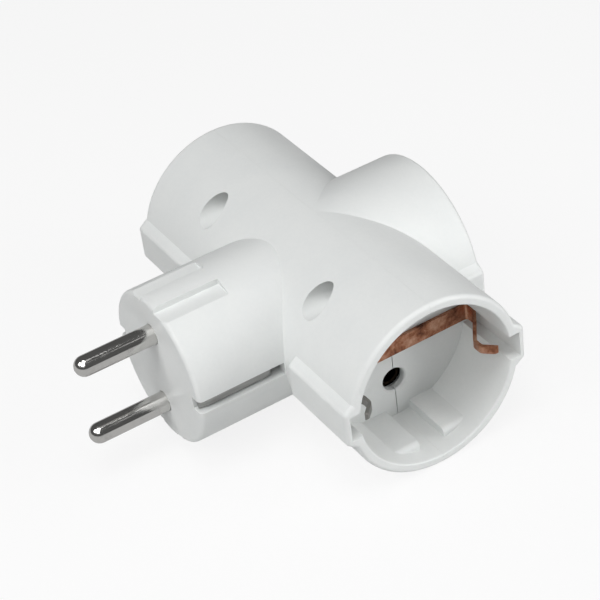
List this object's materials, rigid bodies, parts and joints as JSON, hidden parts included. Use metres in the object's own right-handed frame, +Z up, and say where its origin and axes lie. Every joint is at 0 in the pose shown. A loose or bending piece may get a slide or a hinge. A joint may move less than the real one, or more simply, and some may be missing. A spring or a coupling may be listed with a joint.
{
  "type": "socket adapter",
  "caption": "White mains adapter: a round two-pin plug body with side earth strips feeds earthed round sockets to the left, to the right and behind.",
  "frame": {"origin": "middle of the footprint, level with the lowest line of the round arms", "axes": "+Z up across the pins, +X towards the right socket, +Y from the plug face to the back socket"},
  "size_m": [0.0888, 0.0908, 0.0435],
  "materials": {
    "shell": "satin white moulding",
    "nickel": "bright nickel plating",
    "brass": "plain sheet brass",
    "copper": "tarnished copper alloy sheet",
    "steel": "zinc plated steel"
  },
  "bodies": {
    "root": {"front_shell": "shell", "rear_shell": "shell", "plug_pin_upper": "nickel", "plug_pin_lower": "nickel", "busbar_upper": "brass", "busbar_lower": "brass", "earth_link": "copper", "plug_earth_strip_right": "nickel", "plug_earth_strip_left": "nickel", "earth_strap_right": "copper", "contact_sleeve_right_upper": "brass", "contact_sleeve_right_lower": "brass", "earth_strap_left": "copper", "contact_sleeve_left_upper": "brass", "contact_sleeve_left_lower": "brass", "earth_strap_back": "copper", "contact_sleeve_back_upper": "brass", "contact_sleeve_back_lower": "brass", "body_screw_right_upper": "steel", "body_screw_right_lower": "steel", "body_screw_left_upper": "steel", "body_screw_left_lower": "steel"}
  },
  "joints": []
}
